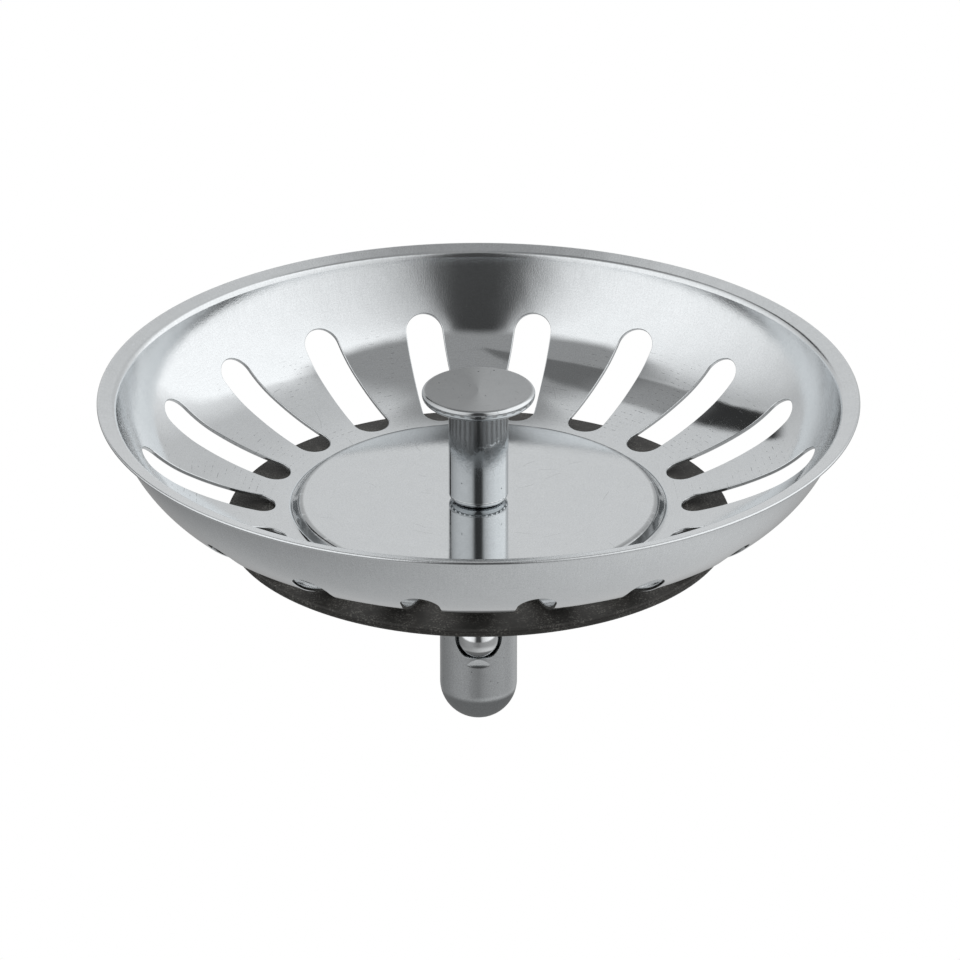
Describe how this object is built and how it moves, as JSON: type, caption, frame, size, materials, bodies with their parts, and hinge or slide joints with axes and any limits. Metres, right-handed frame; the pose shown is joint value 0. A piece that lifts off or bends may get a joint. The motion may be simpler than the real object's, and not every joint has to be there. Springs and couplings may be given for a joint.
{
  "type": "basket strainer",
  "caption": "Round basket strainer for a kitchen sink waste: a slotted steel bowl with a lift knob, a rubber seal under it and a stem with a spring-loaded ball.",
  "frame": {"origin": "on the axis, on the stem's shoulder, where the backing stack rests on it", "axes": "+Z along the axis, up towards the knob; the detent ball faces -Y; +X to its right"},
  "size_m": [0.078, 0.078, 0.0372],
  "materials": {
    "basket_steel": "bright polished pressed stainless sheet with fine circular brushing",
    "knob_steel": "turned stainless steel, fine lathe lines, satin top face",
    "seal_rubber": "matt black moulded rubber with a fine dusty bloom",
    "washer_steel": "stamped stainless washer, tumbled satin",
    "lock_steel": "spring steel, dull grey",
    "stem_steel": "turned stainless steel, satin with fine lathe lines",
    "ball_steel": "polished hardened steel ball",
    "spring_steel": "drawn spring wire"
  },
  "bodies": {
    "strainer": {"basket": "basket_steel", "knob": "knob_steel", "seal": "seal_rubber", "backing_washer": "washer_steel", "lock_washer": "lock_steel", "stem": "stem_steel", "detent_spring": "spring_steel"},
    "ball": {"detent_ball": "ball_steel"}
  },
  "joints": [
    {"name": "ball_press", "type": "slide", "parent": "strainer", "child": "ball", "axis": [0, 1, 0], "range_m": [0, 0.00125], "stiffness_N_per_m": 3000, "springref_m": -0.0015, "deforming": ["detent_spring"]}
  ]
}
